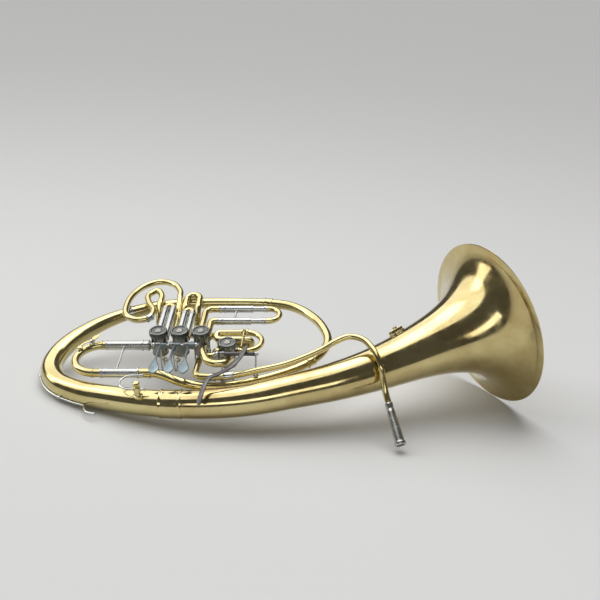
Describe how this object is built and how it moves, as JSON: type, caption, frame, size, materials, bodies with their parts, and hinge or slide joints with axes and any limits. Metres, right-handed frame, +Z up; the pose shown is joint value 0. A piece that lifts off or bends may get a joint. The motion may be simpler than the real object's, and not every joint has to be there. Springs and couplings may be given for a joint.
{
  "type": "wagner tuba",
  "caption": "Oval wagner tuba in lacquered brass with a flared bell, rotary valves with spoon levers, tuning slides, a coiled valve loop and a curved mouthpipe.",
  "frame": {"origin": "centre of the bounding box's underside, the plane the horn rests on", "axes": "+X along the horn from the left bow to the bell, +Y to the far side, +Z up from the resting plane"},
  "size_m": [0.6974, 0.332, 0.2325],
  "materials": {
    "lacquered_brass": "polished",
    "nickel_silver": "polished",
    "spring_steel": "satin"
  },
  "bodies": {
    "horn": {"bearing_plate_1": "lacquered_brass", "bearing_plate_2": "lacquered_brass", "bearing_plate_3": "lacquered_brass", "bearing_plate_4": "lacquered_brass", "bell": "lacquered_brass", "bell_ferrule": "lacquered_brass", "bottom_bow": "lacquered_brass", "branch_ferrule": "nickel_silver", "fourth_valve_loop": "lacquered_brass", "guard_wire": "nickel_silver", "hook_socket": "lacquered_brass", "lead_loop": "lacquered_brass", "leadpipe": "lacquered_brass", "lever_rod": "spring_steel", "lyre_holder": "lacquered_brass", "main_slide_sleeves": "nickel_silver", "mouthpipe_brace": "nickel_silver", "mouthpipe_ferrule": "nickel_silver", "receiver": "nickel_silver", "return_tube": "lacquered_brass", "right_bow": "lacquered_brass", "slide_3_sleeves": "nickel_silver", "slide_4_sleeves": "lacquered_brass", "thumb_bracket": "nickel_silver", "thumb_rod": "spring_steel", "top_branch": "lacquered_brass", "valve_1_cap": "nickel_silver", "valve_1_casing": "lacquered_brass", "valve_2_cap": "nickel_silver", "valve_2_casing": "lacquered_brass", "valve_3_cap": "nickel_silver", "valve_3_casing": "lacquered_brass", "valve_3_to_4_tube": "lacquered_brass", "valve_4_cap": "nickel_silver", "valve_4_casing": "lacquered_brass"},
    "lever_1": {"lever_1": "nickel_silver"},
    "link_1": {"link_1": "spring_steel"},
    "rotor_1": {"rotor_1": "lacquered_brass", "stop_arm_1": "lacquered_brass"},
    "lever_2": {"lever_2": "nickel_silver"},
    "link_2": {"link_2": "spring_steel"},
    "rotor_2": {"rotor_2": "lacquered_brass", "stop_arm_2": "lacquered_brass"},
    "lever_3": {"lever_3": "nickel_silver"},
    "link_3": {"link_3": "spring_steel"},
    "rotor_3": {"rotor_3": "lacquered_brass", "stop_arm_3": "lacquered_brass"},
    "lever_4": {"lever_4": "nickel_silver"},
    "link_4": {"link_4": "spring_steel"},
    "rotor_4": {"rotor_4": "lacquered_brass", "stop_arm_4": "lacquered_brass"},
    "main_slide": {"main_slide": "lacquered_brass", "water_key_saddle": "nickel_silver"},
    "slide_1": {"slide_1": "lacquered_brass"},
    "slide_2": {"slide_2": "lacquered_brass"},
    "slide_3": {"slide_3": "lacquered_brass"},
    "slide_4": {"slide_4": "lacquered_brass"},
    "water_key": {"water_key": "lacquered_brass"},
    "thumbscrew": {"thumbscrew": "lacquered_brass"},
    "finger_hook": {"finger_hook": "nickel_silver"}
  },
  "joints": [
    {"name": "lever_1_hinge", "type": "hinge", "parent": "horn", "child": "lever_1", "pos_m": [-0.17664, -0.03123, 0.07609], "axis": [0.9941, -0.0112, 0.1077], "range_deg": [0, 14.58], "stiffness_Nm_per_rad": 0.1, "springref_deg": -17.19},
    {"name": "link_1_pivot", "type": "hinge", "parent": "lever_1", "child": "link_1", "pos_m": [-0.17344, -0.02814, 0.03734], "axis": [0.9941, -0.0112, 0.1077], "range_deg": [-14.59, 0.01]},
    {"name": "valve_1_turn", "type": "hinge", "parent": "horn", "child": "rotor_1", "pos_m": [-0.18065, -0.00054, 0.05127], "axis": [-0.1077, -0.2048, 0.9729], "range_deg": [-0.01, 90.01]},
    {"name": "lever_2_hinge", "type": "hinge", "parent": "horn", "child": "lever_2", "pos_m": [-0.15676, -0.03145, 0.07825], "axis": [0.9941, -0.0112, 0.1077], "range_deg": [0, 14.58], "stiffness_Nm_per_rad": 0.1, "springref_deg": -17.19},
    {"name": "link_2_pivot", "type": "hinge", "parent": "lever_2", "child": "link_2", "pos_m": [-0.15549, -0.02834, 0.03928], "axis": [0.9941, -0.0112, 0.1077], "range_deg": [-14.59, 0.01]},
    {"name": "valve_2_turn", "type": "hinge", "parent": "horn", "child": "rotor_2", "pos_m": [-0.15082, -0.00088, 0.0545], "axis": [-0.1077, -0.2048, 0.9729], "range_deg": [-90.01, 0.01]},
    {"name": "lever_3_hinge", "type": "hinge", "parent": "horn", "child": "lever_3", "pos_m": [-0.13687, -0.03168, 0.0804], "axis": [0.9941, -0.0112, 0.1077], "range_deg": [0, 14.58], "stiffness_Nm_per_rad": 0.1, "springref_deg": -17.19},
    {"name": "link_3_pivot", "type": "hinge", "parent": "lever_3", "child": "link_3", "pos_m": [-0.12567, -0.02868, 0.04251], "axis": [0.9941, -0.0112, 0.1077], "range_deg": [-14.59, 0.01]},
    {"name": "valve_3_turn", "type": "hinge", "parent": "horn", "child": "rotor_3", "pos_m": [-0.121, -0.00121, 0.05773], "axis": [-0.1077, -0.2048, 0.9729], "range_deg": [-90.01, 0.01]},
    {"name": "lever_4_hinge", "type": "hinge", "parent": "horn", "child": "lever_4", "pos_m": [-0.06913, -0.05515, 0.08398], "axis": [0.9941, -0.0112, 0.1077], "range_deg": [0, 10.58], "stiffness_Nm_per_rad": 0.1, "springref_deg": -17.19},
    {"name": "link_4_pivot", "type": "hinge", "parent": "lever_4", "child": "link_4", "pos_m": [-0.08514, -0.04969, 0.03628], "axis": [0.9941, -0.0112, 0.1077], "range_deg": [-10.59, 0.01]},
    {"name": "valve_4_turn", "type": "hinge", "parent": "horn", "child": "rotor_4", "pos_m": [-0.08136, -0.01999, 0.052], "axis": [-0.1077, -0.2048, 0.9729], "range_deg": [-90.01, 0.01]},
    {"name": "main_slide_pull", "type": "slide", "parent": "horn", "child": "main_slide", "axis": [-0.9941, 0.0112, -0.1077], "range_m": [0, 0.05]},
    {"name": "slide_1_pull", "type": "slide", "parent": "horn", "child": "slide_1", "axis": [-0.0112, 0.9787, 0.2048], "range_m": [0, 0.008]},
    {"name": "slide_2_pull", "type": "slide", "parent": "horn", "child": "slide_2", "axis": [-0.0112, 0.9787, 0.2048], "range_m": [0, 0.004]},
    {"name": "slide_3_pull", "type": "slide", "parent": "horn", "child": "slide_3", "axis": [0.9941, -0.0112, 0.1077], "range_m": [0, 0.03]},
    {"name": "slide_4_pull", "type": "slide", "parent": "horn", "child": "slide_4", "axis": [0.9941, -0.0112, 0.1077], "range_m": [0, 0.008]},
    {"name": "water_key_hinge", "type": "hinge", "parent": "main_slide", "child": "water_key", "pos_m": [-0.27642, -0.01419, 0.06494], "axis": [-0.7109, 0.7, 0.0687], "range_deg": [0, 14], "stiffness_Nm_per_rad": 0.02, "springref_deg": -28.65},
    {"name": "thumbscrew_turn", "type": "hinge", "parent": "horn", "child": "thumbscrew", "pos_m": [-0.19105, -0.12816, 0.05513], "axis": [-0.1077, -0.2048, 0.9729], "range_deg": [-90, 90]},
    {"name": "finger_hook_slide", "type": "slide", "parent": "horn", "child": "finger_hook", "axis": [0.9941, -0.0112, 0.1077], "range_m": [-0.002, 0.005]}
  ],
  "couplings": [
    {"joint": "link_1_pivot", "follows": "lever_1_hinge", "ratio": -1},
    {"joint": "valve_1_turn", "follows": "lever_1_hinge", "ratio": 6.1716},
    {"joint": "link_2_pivot", "follows": "lever_2_hinge", "ratio": -1},
    {"joint": "valve_2_turn", "follows": "lever_2_hinge", "ratio": -6.1716},
    {"joint": "link_3_pivot", "follows": "lever_3_hinge", "ratio": -1},
    {"joint": "valve_3_turn", "follows": "lever_3_hinge", "ratio": -6.1716},
    {"joint": "link_4_pivot", "follows": "lever_4_hinge", "ratio": -1},
    {"joint": "valve_4_turn", "follows": "lever_4_hinge", "ratio": -8.5034}
  ]
}
